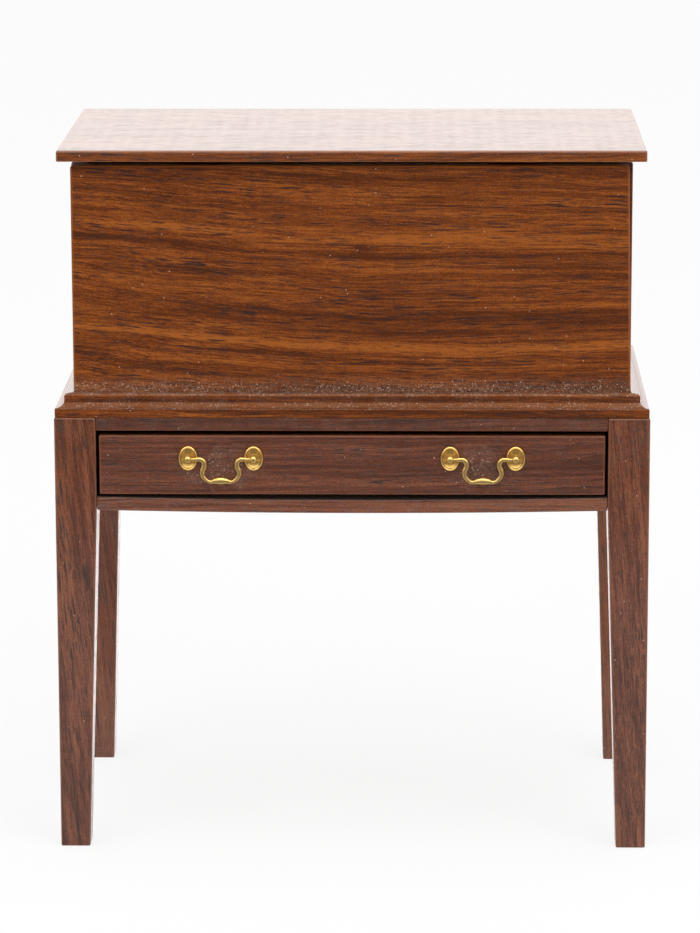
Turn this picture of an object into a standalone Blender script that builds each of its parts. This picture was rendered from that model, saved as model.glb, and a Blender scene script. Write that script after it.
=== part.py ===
"""A cellarette at one-twelfth scale: a lidded bottle box on a stand with one drawer.

Metres, +Z up. The front looks towards -Y, and left and right are as seen from the front.
The origin is on the floor, under the middle of the whole piece.
"""

import math

import bmesh
import bpy
from mathutils import Matrix, Vector

# Clearances
GLUE_GAP = 0.00003
MITRE_GAP = 0.00002
SLIDE_GAP = 0.00006
DIVIDER_PLAY = 0.00010
TURN_GAP = 0.00004

# Stand
STAND_WIDTH = 0.0600
STAND_DEPTH = 0.0353
STAND_HEIGHT = 0.0450
LEG_SIDE = 0.0042
FOOT_SIDE = 0.0030
UPPER_RAIL_HEIGHT = 0.00133
LOWER_RAIL_HEIGHT = 0.00135
LOWER_RAIL_SAG = 0.00028
RAIL_DEPTH = 0.0040
RAIL_INSET = 0.00008
APRON_THICKNESS = 0.0024
APRON_INSET = 0.00020
TENON_LENGTH = 0.0013
TENON_SHOULDER = 0.00035
ARRIS = 0.00016

# Drawer opening, runners and kickers
OPENING_HEIGHT = 0.00685
RUNNER_HEIGHT = 0.0009
RUNNER_REACH = 0.0018
GUIDE_PLAY = 0.00030

# Box and waist moulding
CASE_SETBACK = 0.00189
CASE_HEIGHT = 0.02535
CASE_WALL = 0.0016
CASE_ARRIS = 0.00022
FRONT_OUT_OF_SQUARE = 0.00040
FRONT_CORNER = 0.00036
FLOOR_THICKNESS = 0.0010
FLOOR_RISE = 0.0006
GROOVE_DEPTH = 0.0006
MOULD_HEIGHT = 0.00225
MOULD_SHY = 0.00010
MOULD_BAND = 0.00080
MOULD_EASE = 0.00010
MOULD_QUIRK = 0.00004
MOULD_COVE = 0.00063
MOULD_LEDGE = 0.00088
MOULD_CROWN = 0.00030

# Bottle dividers
DIVIDER_THICKNESS = 0.0007
DIVIDER_HEIGHT = 0.0140
COLUMNS = 5
ROWS = 3

# Lid and hinges
LID_THICKNESS = 0.00113
LID_OVERHANG = 0.00129
LID_ROUND = 0.00022
LID_LOWER_ROUND = 0.00008
LID_STOP_ANGLE = math.radians(104)
LEAF_THICKNESS = 0.00020
LEAF_PLAY = 0.00010
LEAF_WIDTH = 0.00130
HINGE_LENGTH = 0.0050
HINGE_INSET = 0.01111
KNUCKLE_PLAY = 0.00003
PIN_RADIUS = 0.00010
NAIL_HEAD_RADIUS = 0.00017
NAIL_HEAD_DEPTH = 0.00010
NAIL_RADIUS = 0.00008
NAIL_LENGTH = 0.00085
NAIL_SPACING = 0.0034

# Drawer
DRAWER_GAP_TOP = 0.00047
DRAWER_GAP_BOTTOM = 0.00028
DRAWER_GAP_SIDE = 0.00030
DRAWER_GAP_BACK = 0.00040
DRAWER_RECESS = 0.00010
DRAWER_FRONT_THICKNESS = 0.0016
DRAWER_SIDE_THICKNESS = 0.0010
DRAWER_BOTTOM_THICKNESS = 0.0007
DRAWER_BOTTOM_RISE = 0.0009
DRAWER_SIDE_DROP = 0.0003
DRAWER_GROOVE_DEPTH = 0.0005

# Bail pulls
PULL_INSET = 0.0123
PULL_RISE = 0.00071
PULL_BORING = 0.0066
ROSETTE_HEIGHT = 0.0025
ROSETTE_WIDTH = 0.0019
ROSETTE_FIELD = 0.00010
ROSETTE_DISH = 0.00010
ROSETTE_RIM = 0.00012
KNOB_RADIUS = 0.00039
POST_RADIUS = 0.00020
COLLAR_RADIUS = 0.00034
COLLAR_HEIGHT = 0.00012
PIVOT_OUT = 0.00066
BAIL_END_RADIUS = 0.00014
BAIL_END_REACH = 0.00017
BAIL_WIRE_RADIUS = 0.00025
BAIL_GRIP_RADIUS = 0.00036
BAIL_DROP = 0.00219
# Swan neck from its post to its lowest bend: distance from the post, drop below the pivot, radius.
BAIL_NECK = [
    (0.00082, 0.00000, 0.00021),
    (0.00145, 0.00008, 0.00024),
    (0.00166, 0.00052, BAIL_WIRE_RADIUS),
    (0.00143, 0.00143, 0.00024),
    (0.00166, 0.00195, 0.00021),
    (0.00222, 0.00235, 0.00018),
]

# Facets
ROUND_STEPS = 20
SMALL_STEPS = 16
ARC_STEPS = 6
BOW_STEPS = 12

# Places that follow from the sizes
PULL_REACH = PIVOT_OUT + KNOB_RADIUS - DRAWER_RECESS
FRONT_Y = -(STAND_DEPTH - PULL_REACH) / 2
BACK_Y = FRONT_Y + STAND_DEPTH
MIDDLE_Y = (FRONT_Y + BACK_Y) / 2
INNER_X = STAND_WIDTH / 2 - LEG_SIDE
OPENING_TOP = STAND_HEIGHT - UPPER_RAIL_HEIGHT
OPENING_BOTTOM = OPENING_TOP - OPENING_HEIGHT
TAPER_TOP = OPENING_BOTTOM - LOWER_RAIL_HEIGHT
APRON_FRONT_Y = FRONT_Y + LEG_SIDE + GLUE_GAP
APRON_BACK_Y = BACK_Y - LEG_SIDE - GLUE_GAP
APRON_OUTER_X = STAND_WIDTH / 2 - APRON_INSET
APRON_INNER_X = APRON_OUTER_X - APRON_THICKNESS
BACK_APRON_Y = BACK_Y - APRON_INSET - APRON_THICKNESS
CASE_WIDTH = STAND_WIDTH - 2 * CASE_SETBACK
CASE_DEPTH = STAND_DEPTH - 2 * CASE_SETBACK
CASE_FRONT_Y = FRONT_Y + CASE_SETBACK
CASE_BACK_Y = BACK_Y - CASE_SETBACK
CASE_BASE = STAND_HEIGHT + GLUE_GAP
CASE_TOP = STAND_HEIGHT + CASE_HEIGHT
CASE_FLOOR = STAND_HEIGHT + FLOOR_RISE
INSIDE_X = CASE_WIDTH / 2 - CASE_WALL
INSIDE_FRONT_Y = CASE_FRONT_Y + CASE_WALL
INSIDE_BACK_Y = CASE_BACK_Y - CASE_WALL
LID_GAP = 2 * LEAF_THICKNESS + LEAF_PLAY
LID_BASE = CASE_TOP + LID_GAP
LID_TOP = LID_BASE + LID_THICKNESS
HINGE_X = CASE_WIDTH / 2 - HINGE_INSET
HINGE_Y = CASE_BACK_Y - LID_GAP / 2 / math.tan(LID_STOP_ANGLE / 2)
HINGE_Z = CASE_TOP + LID_GAP / 2
KNUCKLE_RADIUS = LID_GAP / 2 - KNUCKLE_PLAY
NAIL_Y = HINGE_Y - (KNUCKLE_RADIUS + TURN_GAP + LEAF_WIDTH) / 2
DRAWER_X = INNER_X - DRAWER_GAP_SIDE
DRAWER_FRONT_Y = FRONT_Y + DRAWER_RECESS
DRAWER_SIDE_Y = DRAWER_FRONT_Y + DRAWER_FRONT_THICKNESS + GLUE_GAP
DRAWER_BACK_Y = BACK_APRON_Y - DRAWER_GAP_BACK
DRAWER_TOP = OPENING_TOP - DRAWER_GAP_TOP
DRAWER_BOTTOM = OPENING_BOTTOM + DRAWER_GAP_BOTTOM
DRAWER_SIDE_TOP = DRAWER_TOP - DRAWER_SIDE_DROP
DRAWER_INSIDE_X = DRAWER_X - DRAWER_SIDE_THICKNESS
DRAWER_FLOOR = OPENING_BOTTOM + DRAWER_BOTTOM_RISE
PULL_X = DRAWER_X - PULL_INSET
PIVOT_Y = DRAWER_FRONT_Y - PIVOT_OUT
PIVOT_Z = (DRAWER_BOTTOM + DRAWER_TOP) / 2 + PULL_RISE

SIDES = {"left": -1, "right": 1}
AIM_AT_FRONT = (math.radians(90), 0, 0)
AIM_ALONG_X = (0, math.radians(90), 0)


def clear_scene():
    for obj in list(bpy.data.objects):
        bpy.data.objects.remove(obj, do_unlink=True)


def collection(name):
    made = bpy.data.collections.new(name)
    bpy.context.scene.collection.children.link(made)
    return made


def principled(name, colour, roughness, metallic=0.0):
    made = bpy.data.materials.new(name)
    made.use_nodes = True
    shader = made.node_tree.nodes["Principled BSDF"]
    shader.inputs["Base Color"].default_value = (*colour, 1.0)
    shader.inputs["Roughness"].default_value = roughness
    shader.inputs["Metallic"].default_value = metallic
    return made


clear_scene()
PARTS = collection("cellarette")
CUTTERS = collection("cutters")
WALNUT = principled("walnut_case", (0.27, 0.105, 0.035), 0.30)
DARK_WALNUT = principled("walnut_stand", (0.17, 0.055, 0.022), 0.32)
PLAIN_WOOD = principled("inside_wood", (0.42, 0.25, 0.12), 0.60)
BRASS = principled("brass", (0.72, 0.48, 0.16), 0.28, 1.0)


def place_of(obj):
    """Where the object's origin is in the part's frame, through its parents."""
    return obj.location + place_of(obj.parent) if obj.parent else obj.location.copy()


def pivot(name, place, parent=None):
    """An empty that marks a joint's axis, or the whole piece."""
    obj = bpy.data.objects.new(name, None)
    obj.parent = parent
    obj.location = Vector(place) - (place_of(parent) if parent else Vector())
    obj.empty_display_size = LEG_SIDE
    PARTS.objects.link(obj)
    return obj


def put(name, data, place, material, parent, turn=(0, 0, 0)):
    """Puts a piece in the scene; a piece with no material is a cutter."""
    obj = bpy.data.objects.new(name, data)
    obj.parent = parent
    obj.location = Vector(place) - (place_of(parent) if parent else Vector())
    obj.rotation_euler = turn
    if material:
        data.materials.append(material)
        PARTS.objects.link(obj)
    else:
        obj.hide_render = True
        obj.display_type = "WIRE"
        CUTTERS.objects.link(obj)
    return obj


def mesh_of(name, bm):
    data = bpy.data.meshes.new(name)
    bm.to_mesh(data)
    bm.free()
    return data


def soften(obj, width, segments=2):
    """Rounds the arrises of a piece."""
    bevel = obj.modifiers.new("arrises", "BEVEL")
    bevel.width = width
    bevel.segments = segments
    bevel.limit_method = "ANGLE"
    bevel.angle_limit = math.radians(40)
    return obj


def boolean(obj, other, operation):
    modifier = obj.modifiers.new(other.name, "BOOLEAN")
    modifier.operation = operation
    modifier.solver = "EXACT"
    modifier.object = other


def block(name, low, high, material=None, parent=None):
    """A squared piece of stock between two corners."""
    low = Vector(low)
    high = Vector(high)
    bm = bmesh.new()
    bmesh.ops.create_cube(bm, size=1.0, matrix=Matrix.Diagonal((*(high - low), 1.0)))
    return put(name, mesh_of(name, bm), (low + high) / 2, material, parent)


def rod(name, place, radius, length, turn, material=None, parent=None, steps=SMALL_STEPS):
    """A round bar about its own middle, along its local Z."""
    bm = bmesh.new()
    bmesh.ops.create_cone(
        bm, cap_ends=True, segments=steps, radius1=radius, radius2=radius, depth=length
    )
    return put(name, mesh_of(name, bm), place, material, parent, turn)


def turned(name, profile, place, turn, material=None, parent=None, steps=ROUND_STEPS):
    """A turned piece: the profile gives (radius, height), from the top of its axis down its outer side."""
    bm = bmesh.new()
    points = [bm.verts.new((radius, 0, height)) for radius, height in profile]
    for start, end in zip(points, points[1:]):
        bm.edges.new((start, end))
    obj = put(name, mesh_of(name, bm), place, material, parent, turn)
    screw = obj.modifiers.new("turning", "SCREW")
    screw.axis = "Z"
    screw.steps = steps
    screw.render_steps = steps
    screw.use_merge_vertices = True
    screw.merge_threshold = 1e-6
    return obj


def arc(centre, radius_x, radius_z, start, end, steps=ARC_STEPS):
    """Points of an elliptical arc; the angles are in degrees."""
    angles = [math.radians(start + (end - start) * i / steps) for i in range(steps + 1)]
    return [
        (centre[0] + radius_x * math.cos(a), centre[1] + radius_z * math.sin(a)) for a in angles
    ]


def make_leg(name, side, end):
    """A square leg whose two inner faces taper from the lower rail to the foot."""
    x = side * (STAND_WIDTH - LEG_SIDE) / 2
    y = MIDDLE_Y + end * (STAND_DEPTH - LEG_SIDE) / 2
    half = LEG_SIDE / 2
    leg = block(name, (x - half, y - half, 0), (x + half, y + half, STAND_HEIGHT), DARK_WALNUT, ROOT)
    bm = bmesh.new()
    bm.from_mesh(leg.data)
    middle = STAND_HEIGHT / 2
    bmesh.ops.bisect_plane(
        bm,
        geom=bm.verts[:] + bm.edges[:] + bm.faces[:],
        plane_co=(0, 0, TAPER_TOP - middle),
        plane_no=(0, 0, 1),
    )
    foot = [v for v in bm.verts if v.co.z < TAPER_TOP - middle - GLUE_GAP]
    for axis, outward in enumerate((side, end)):
        inner = [v for v in foot if v.co[axis] * outward < 0]
        shift = Vector((0, 0, 0))
        shift[axis] = outward * (LEG_SIDE - FOOT_SIDE)
        bmesh.ops.translate(bm, verts=inner, vec=shift)
    bm.to_mesh(leg.data)
    bm.free()
    return soften(leg, ARRIS)


def bow(rail, sag):
    """Lets the middle of a rail hang below its ends in an even curve."""
    bm = bmesh.new()
    bm.from_mesh(rail.data)
    half = max(vert.co.x for vert in bm.verts)
    for step in range(1, BOW_STEPS):
        cut = half * (2 * step / BOW_STEPS - 1)
        everything = bm.verts[:] + bm.edges[:] + bm.faces[:]
        bmesh.ops.bisect_plane(bm, geom=everything, plane_co=(cut, 0, 0), plane_no=(1, 0, 0))
    for vert in bm.verts:
        vert.co.z -= sag * (1 - (vert.co.x / half) ** 2)
    bm.to_mesh(rail.data)
    bm.free()


def make_tenoned(name, low, high, axis, legs, sag=0.0):
    """A rail with a stub tenon at each end of the axis, let into the legs."""
    low = Vector(low)
    high = Vector(high)
    shoulder = Vector((TENON_SHOULDER,) * 3)
    shoulder[axis] = -TENON_LENGTH
    rail = block(name, low, high, DARK_WALNUT, ROOT)
    if sag:
        bow(rail, sag)
    soften(rail, ARRIS / 2, 1)
    boolean(rail, block(name + "_tenons", low + shoulder, high - shoulder), "UNION")
    room = shoulder - Vector((GLUE_GAP,) * 3)
    mortises = block(name + "_mortises", low + room, high - room)
    for leg in legs:
        boolean(leg, mortises, "DIFFERENCE")


def make_stand():
    """Four legs, two front rails, three aprons, and the runners and kickers for the drawer."""
    legs = {}
    for end_name, end in (("front", -1), ("rear", 1)):
        for side_name, side in SIDES.items():
            legs[end_name, side_name] = make_leg(f"leg_{end_name}_{side_name}", side, end)
    front_legs = [legs["front", side_name] for side_name in SIDES]
    rear_legs = [legs["rear", side_name] for side_name in SIDES]
    rail_x = INNER_X - GLUE_GAP
    rail_y = FRONT_Y + RAIL_INSET
    for name, bottom, top, sag in (
        ("rail_upper", OPENING_TOP, STAND_HEIGHT, 0.0),
        ("rail_lower", TAPER_TOP, OPENING_BOTTOM, LOWER_RAIL_SAG),
    ):
        low = (-rail_x, rail_y, bottom)
        make_tenoned(name, low, (rail_x, rail_y + RAIL_DEPTH, top), 0, front_legs, sag)
    make_tenoned(
        "apron_back",
        (-rail_x, BACK_APRON_Y, TAPER_TOP),
        (rail_x, BACK_Y - APRON_INSET, STAND_HEIGHT),
        0,
        rear_legs,
    )
    for side_name, side in SIDES.items():
        near, far = sorted((side * APRON_INNER_X, side * APRON_OUTER_X))
        make_tenoned(
            "apron_" + side_name,
            (near, APRON_FRONT_Y, TAPER_TOP),
            (far, APRON_BACK_Y, STAND_HEIGHT),
            1,
            (legs["front", side_name], legs["rear", side_name]),
        )
        make_runner(side_name, side)


def make_runner(side_name, side):
    """A runner with its guide, rebated from one strip, and the kicker above it."""
    guide_x = DRAWER_X + GUIDE_PLAY
    shelf_x = guide_x - RUNNER_REACH
    wall_x = APRON_INNER_X - GLUE_GAP
    near, far = sorted((side * shelf_x, side * wall_x))
    runner = block(
        "runner_" + side_name,
        (near, APRON_FRONT_Y, OPENING_BOTTOM - RUNNER_HEIGHT),
        (far, APRON_BACK_Y, OPENING_TOP - GLUE_GAP),
        PLAIN_WOOD,
        ROOT,
    )
    near_cut, far_cut = sorted((side * (shelf_x - RUNNER_REACH), side * guide_x))
    rebate = block(
        f"runner_{side_name}_rebate",
        (near_cut, FRONT_Y, OPENING_BOTTOM),
        (far_cut, BACK_Y, STAND_HEIGHT),
    )
    boolean(runner, rebate, "DIFFERENCE")
    block(
        "kicker_" + side_name,
        (near, APRON_FRONT_Y, OPENING_TOP),
        (far, APRON_BACK_Y, STAND_HEIGHT),
        PLAIN_WOOD,
        ROOT,
    )


def moulding_profile():
    """The waist moulding's section as (out from the box, up from the stand): band, cove, fillet, crown."""
    out = CASE_SETBACK - MOULD_SHY
    cove_out = out - MOULD_EASE - MOULD_QUIRK
    cove_head = MOULD_BAND + MOULD_EASE + MOULD_COVE
    return [
        (GLUE_GAP, 0),
        (out, 0),
        *arc((out - MOULD_EASE, MOULD_BAND), MOULD_EASE, MOULD_EASE, 0, 90, 3),
        *arc((cove_out, cove_head), cove_out - MOULD_LEDGE, MOULD_COVE, 270, 180),
        *arc(
            (MOULD_LEDGE - MOULD_CROWN, MOULD_HEIGHT - MOULD_CROWN),
            MOULD_CROWN,
            MOULD_CROWN,
            0,
            90,
            4,
        ),
        (GLUE_GAP, MOULD_HEIGHT),
    ]


def moulding_mesh(name, half_length):
    """One length of the moulding along X, facing -Y, mitred at both ends."""
    bm = bmesh.new()
    section = bm.faces.new([bm.verts.new((-1, -out, up)) for out, up in moulding_profile()])
    grown = bmesh.ops.extrude_face_region(bm, geom=[section])
    for vert in grown["geom"]:
        if isinstance(vert, bmesh.types.BMVert):
            vert.co.x = 1
    for vert in bm.verts:
        vert.co.x *= half_length - vert.co.y - MITRE_GAP
    bmesh.ops.recalc_face_normals(bm, faces=bm.faces[:])
    return mesh_of(name, bm)


def make_moulding():
    """Four mitred lengths around the foot of the box, on top of the stand."""
    z = STAND_HEIGHT + GLUE_GAP
    half_width = CASE_WIDTH / 2
    lengths = (
        ("moulding_front", half_width, 0, (0, CASE_FRONT_Y, z)),
        ("moulding_right", CASE_DEPTH / 2, 90, (half_width, MIDDLE_Y, z)),
        ("moulding_back", half_width, 180, (0, CASE_BACK_Y, z)),
        ("moulding_left", CASE_DEPTH / 2, 270, (-half_width, MIDDLE_Y, z)),
    )
    for name, half_length, degrees, place in lengths:
        data = moulding_mesh(name, half_length)
        put(name, data, place, DARK_WALNUT, ROOT, (0, 0, math.radians(degrees)))


def shape_front_board(front):
    """Draws in the board's upper right corner and rounds both of its upper corners."""
    bm = bmesh.new()
    bm.from_mesh(front.data)
    for vert in bm.verts:
        if vert.co.x > 0 and vert.co.z > 0:
            vert.co.x -= FRONT_OUT_OF_SQUARE
    corners = [
        edge
        for edge in bm.edges
        if all(vert.co.z > 0 for vert in edge.verts) and edge.verts[0].co.x == edge.verts[1].co.x
    ]
    bmesh.ops.bevel(
        bm, geom=corners, offset=FRONT_CORNER, segments=4, profile=0.5, affect="EDGES", material=-1
    )
    bm.to_mesh(front.data)
    bm.free()
    soften(front, CASE_ARRIS)


def make_case():
    """Front and back boards, two sides, and a bottom let into grooves; returns the back board."""
    half = CASE_WIDTH / 2
    front = block(
        "case_front",
        (-half, CASE_FRONT_Y, CASE_BASE),
        (half, INSIDE_FRONT_Y - GLUE_GAP, CASE_TOP),
        WALNUT,
        ROOT,
    )
    shape_front_board(front)
    back = block(
        "case_back",
        (GLUE_GAP - INSIDE_X, INSIDE_BACK_Y, CASE_BASE),
        (INSIDE_X - GLUE_GAP, CASE_BACK_Y, CASE_TOP),
        WALNUT,
        ROOT,
    )
    walls = [front, back]
    for side_name, side in SIDES.items():
        near, far = sorted((side * INSIDE_X, side * half))
        wall = block(
            "case_" + side_name,
            (near, INSIDE_FRONT_Y, CASE_BASE),
            (far, CASE_BACK_Y, CASE_TOP),
            WALNUT,
            ROOT,
        )
        walls.append(soften(wall, CASE_ARRIS / 2, 1))
    tongue = Vector((INSIDE_X, INSIDE_BACK_Y, 0)) + Vector((GROOVE_DEPTH, GROOVE_DEPTH, 0))
    floor_low = Vector((-tongue.x, INSIDE_FRONT_Y - GROOVE_DEPTH, CASE_FLOOR))
    floor_high = Vector((tongue.x, tongue.y, CASE_FLOOR + FLOOR_THICKNESS))
    block("case_bottom", floor_low, floor_high, PLAIN_WOOD, ROOT)
    room = Vector((GLUE_GAP,) * 3)
    groove = block("case_groove", floor_low - room, floor_high + room)
    for wall in walls:
        boolean(wall, groove, "DIFFERENCE")
    return back


def make_dividers():
    """An egg-crate of thin boards, halved over each other, that parts the box into bottle cells."""
    foot = CASE_FLOOR + FLOOR_THICKNESS + GLUE_GAP
    head = foot + DIVIDER_HEIGHT
    middle = (foot + head) / 2
    half = DIVIDER_THICKNESS / 2
    slot = half + GLUE_GAP
    end_x = INSIDE_X - DIVIDER_PLAY
    front_y = INSIDE_FRONT_Y + DIVIDER_PLAY
    back_y = INSIDE_BACK_Y - DIVIDER_PLAY
    columns = [INSIDE_X * (2 * i / COLUMNS - 1) for i in range(1, COLUMNS)]
    rows = [INSIDE_FRONT_Y + (INSIDE_BACK_Y - INSIDE_FRONT_Y) * i / ROWS for i in range(1, ROWS)]
    long_boards = [
        block(f"divider_long_{i}", (-end_x, y - half, foot), (end_x, y + half, head), PLAIN_WOOD, ROOT)
        for i, y in enumerate(rows, 1)
    ]
    cross_boards = [
        block(f"divider_cross_{i}", (x - half, front_y, foot), (x + half, back_y, head), PLAIN_WOOD, ROOT)
        for i, x in enumerate(columns, 1)
    ]
    for i, x in enumerate(columns, 1):
        low = (x - slot, front_y, middle - GLUE_GAP)
        cutter = block(f"halving_long_{i}", low, (x + slot, back_y, CASE_TOP))
        for board in long_boards:
            boolean(board, cutter, "DIFFERENCE")
    for i, y in enumerate(rows, 1):
        high = (end_x, y + slot, middle + GLUE_GAP)
        cutter = block(f"halving_cross_{i}", (-end_x, y - slot, STAND_HEIGHT), high)
        for board in cross_boards:
            boolean(board, cutter, "DIFFERENCE")


def make_lid():
    """The lid overhangs the front and the sides, and is flush with the box at the back."""
    half = CASE_WIDTH / 2 + LID_OVERHANG
    lid = block(
        "lid_board",
        (-half, CASE_FRONT_Y - LID_OVERHANG, LID_BASE),
        (half, CASE_BACK_Y, LID_TOP),
        WALNUT,
        LID_AXIS,
    )
    front = [v for v in lid.data.vertices if v.co.y < 0]
    middle = sum(v.co.z for v in lid.data.vertices) / len(lid.data.vertices)
    weight = lid.data.attributes.new("bevel_weight_edge", "FLOAT", "EDGE")
    for edge in lid.data.edges:
        ends = [lid.data.vertices[i] for i in edge.vertices]
        along_back = all(v not in front for v in ends) and ends[0].co.x != ends[1].co.x
        underneath = ends[0].co.z == ends[1].co.z and ends[0].co.z < middle
        share = LID_LOWER_ROUND / LID_ROUND if underneath else 1.0
        weight.data[edge.index].value = 0.0 if along_back else share
    soften(lid, LID_ROUND, 3).modifiers["arrises"].limit_method = "WEIGHT"
    return lid


def nail_profile(grow):
    """A countersunk nail that points down, with its head's face at height 0."""
    return [
        (0, grow),
        (NAIL_HEAD_RADIUS + grow, grow),
        (NAIL_RADIUS + grow, -NAIL_HEAD_DEPTH),
        (NAIL_RADIUS + grow, -NAIL_LENGTH - grow),
        (0, -NAIL_LENGTH - grow),
    ]


def make_leaf(name, x, knuckles, bottom, parent):
    """A hinge leaf with its knuckles: the numbered thirds of the barrel that it carries."""
    half = HINGE_LENGTH / 2
    leaf = block(
        name,
        (x - half, HINGE_Y - LEAF_WIDTH, bottom),
        (x + half, HINGE_Y, bottom + LEAF_THICKNESS),
        BRASS,
        parent,
    )
    centre = Vector((x, HINGE_Y, HINGE_Z))
    boolean(leaf, rod(name + "_barrel", centre, KNUCKLE_RADIUS, HINGE_LENGTH, AIM_ALONG_X), "UNION")
    third = HINGE_LENGTH / 3
    for number in range(3):
        if number in knuckles:
            continue
        room_low = x - half + number * third - (TURN_GAP if number else third)
        room_high = x - half + (number + 1) * third + (TURN_GAP if number < 2 else third)
        room = rod(
            f"{name}_room_{number}",
            ((room_low + room_high) / 2, HINGE_Y, HINGE_Z),
            KNUCKLE_RADIUS + TURN_GAP,
            room_high - room_low,
            AIM_ALONG_X,
        )
        boolean(leaf, room, "DIFFERENCE")
    bore = rod(name + "_bore", centre, PIN_RADIUS + GLUE_GAP, 2 * HINGE_LENGTH, AIM_ALONG_X)
    boolean(leaf, bore, "DIFFERENCE")
    return leaf


def make_hinge(side_name, side, case_back, lid):
    """A butt hinge between the box's back board and the lid, its leaves nailed on in the gap."""
    x = side * HINGE_X
    name = "hinge_" + side_name
    flip = (math.radians(180), 0, 0)
    case_leaf = make_leaf(name + "_case_leaf", x, (0, 2), CASE_TOP + GLUE_GAP, ROOT)
    lid_leaf = make_leaf(name + "_lid_leaf", x, (1,), LID_BASE - GLUE_GAP - LEAF_THICKNESS, LID_AXIS)
    rod(name + "_pin", (x, HINGE_Y, HINGE_Z), PIN_RADIUS, HINGE_LENGTH, AIM_ALONG_X, BRASS, ROOT)
    rows = (
        ("case", case_leaf, case_back, CASE_TOP + GLUE_GAP + LEAF_THICKNESS, (0, 0, 0), ROOT),
        ("lid", lid_leaf, lid, LID_BASE - GLUE_GAP - LEAF_THICKNESS, flip, LID_AXIS),
    )
    for body, leaf, board, z, turn, parent in rows:
        for number, step in ((1, -0.5), (2, 0.5)):
            place = (x + step * NAIL_SPACING, NAIL_Y, z)
            nail = f"{name}_{body}_nail_{number}"
            turned(nail, nail_profile(0), place, turn, BRASS, parent, SMALL_STEPS)
            hole = turned(nail + "_hole", nail_profile(GLUE_GAP), place, turn, steps=SMALL_STEPS)
            boolean(leaf, hole, "DIFFERENCE")
            boolean(board, hole, "DIFFERENCE")


def make_drawer():
    """Front, sides, back, and a bottom let into grooves that runs out under the back; returns the front."""
    front = block(
        "drawer_front",
        (-DRAWER_X, DRAWER_FRONT_Y, DRAWER_BOTTOM),
        (DRAWER_X, DRAWER_FRONT_Y + DRAWER_FRONT_THICKNESS, DRAWER_TOP),
        DARK_WALNUT,
        DRAWER_SLIDE,
    )
    soften(front, ARRIS)
    grooved = [front]
    for side_name, side in SIDES.items():
        near, far = sorted((side * DRAWER_INSIDE_X, side * DRAWER_X))
        wall = block(
            "drawer_" + side_name,
            (near, DRAWER_SIDE_Y, OPENING_BOTTOM + SLIDE_GAP),
            (far, DRAWER_BACK_Y, DRAWER_SIDE_TOP),
            PLAIN_WOOD,
            DRAWER_SLIDE,
        )
        grooved.append(wall)
    inside = DRAWER_INSIDE_X - GLUE_GAP
    floor_top = DRAWER_FLOOR + DRAWER_BOTTOM_THICKNESS
    block(
        "drawer_back",
        (-inside, DRAWER_BACK_Y - DRAWER_SIDE_THICKNESS, floor_top + GLUE_GAP),
        (inside, DRAWER_BACK_Y, DRAWER_SIDE_TOP),
        PLAIN_WOOD,
        DRAWER_SLIDE,
    )
    tongue_x = DRAWER_INSIDE_X + DRAWER_GROOVE_DEPTH
    tongue_y = DRAWER_FRONT_Y + DRAWER_FRONT_THICKNESS - DRAWER_GROOVE_DEPTH
    block(
        "drawer_bottom",
        (-tongue_x, tongue_y, DRAWER_FLOOR),
        (tongue_x, DRAWER_BACK_Y, floor_top),
        PLAIN_WOOD,
        DRAWER_SLIDE,
    )
    groove = block(
        "drawer_groove",
        (-tongue_x - GLUE_GAP, tongue_y - GLUE_GAP, DRAWER_FLOOR - GLUE_GAP),
        (tongue_x + GLUE_GAP, BACK_Y, floor_top + GLUE_GAP),
    )
    for board in grooved:
        boolean(board, groove, "DIFFERENCE")
    return front


def post_profile():
    """A round knob on a neck, a collar that holds the rosette down, and a shank through the drawer front."""
    neck = math.degrees(math.asin(POST_RADIUS / KNOB_RADIUS))
    seat = ROSETTE_FIELD + 2 * GLUE_GAP
    return [
        *arc((0, PIVOT_OUT), KNOB_RADIUS, KNOB_RADIUS, 90, neck - 90, 8),
        (COLLAR_RADIUS, seat + COLLAR_HEIGHT),
        (COLLAR_RADIUS, seat),
        (POST_RADIUS, seat),
        (POST_RADIUS, -DRAWER_FRONT_THICKNESS),
        (0, -DRAWER_FRONT_THICKNESS),
    ]


def rosette_profile():
    """A plate with a flat seat for the collar, a dished field and a beaded rim beyond a groove."""
    edge = ROSETTE_HEIGHT / 2
    seat = COLLAR_RADIUS + GLUE_GAP
    field = edge - 2 * ROSETTE_RIM
    rises = [step / ARC_STEPS for step in range(1, ARC_STEPS + 1)]
    return [
        (0, ROSETTE_FIELD),
        (seat, ROSETTE_FIELD),
        *((seat + (field - seat) * rise, ROSETTE_FIELD + ROSETTE_DISH * rise**2) for rise in rises),
        *arc((edge - ROSETTE_RIM, ROSETTE_FIELD + ROSETTE_RIM / 2), ROSETTE_RIM, ROSETTE_RIM, 180, 0),
        (edge, GLUE_GAP),
        (0, GLUE_GAP),
    ]


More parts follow.
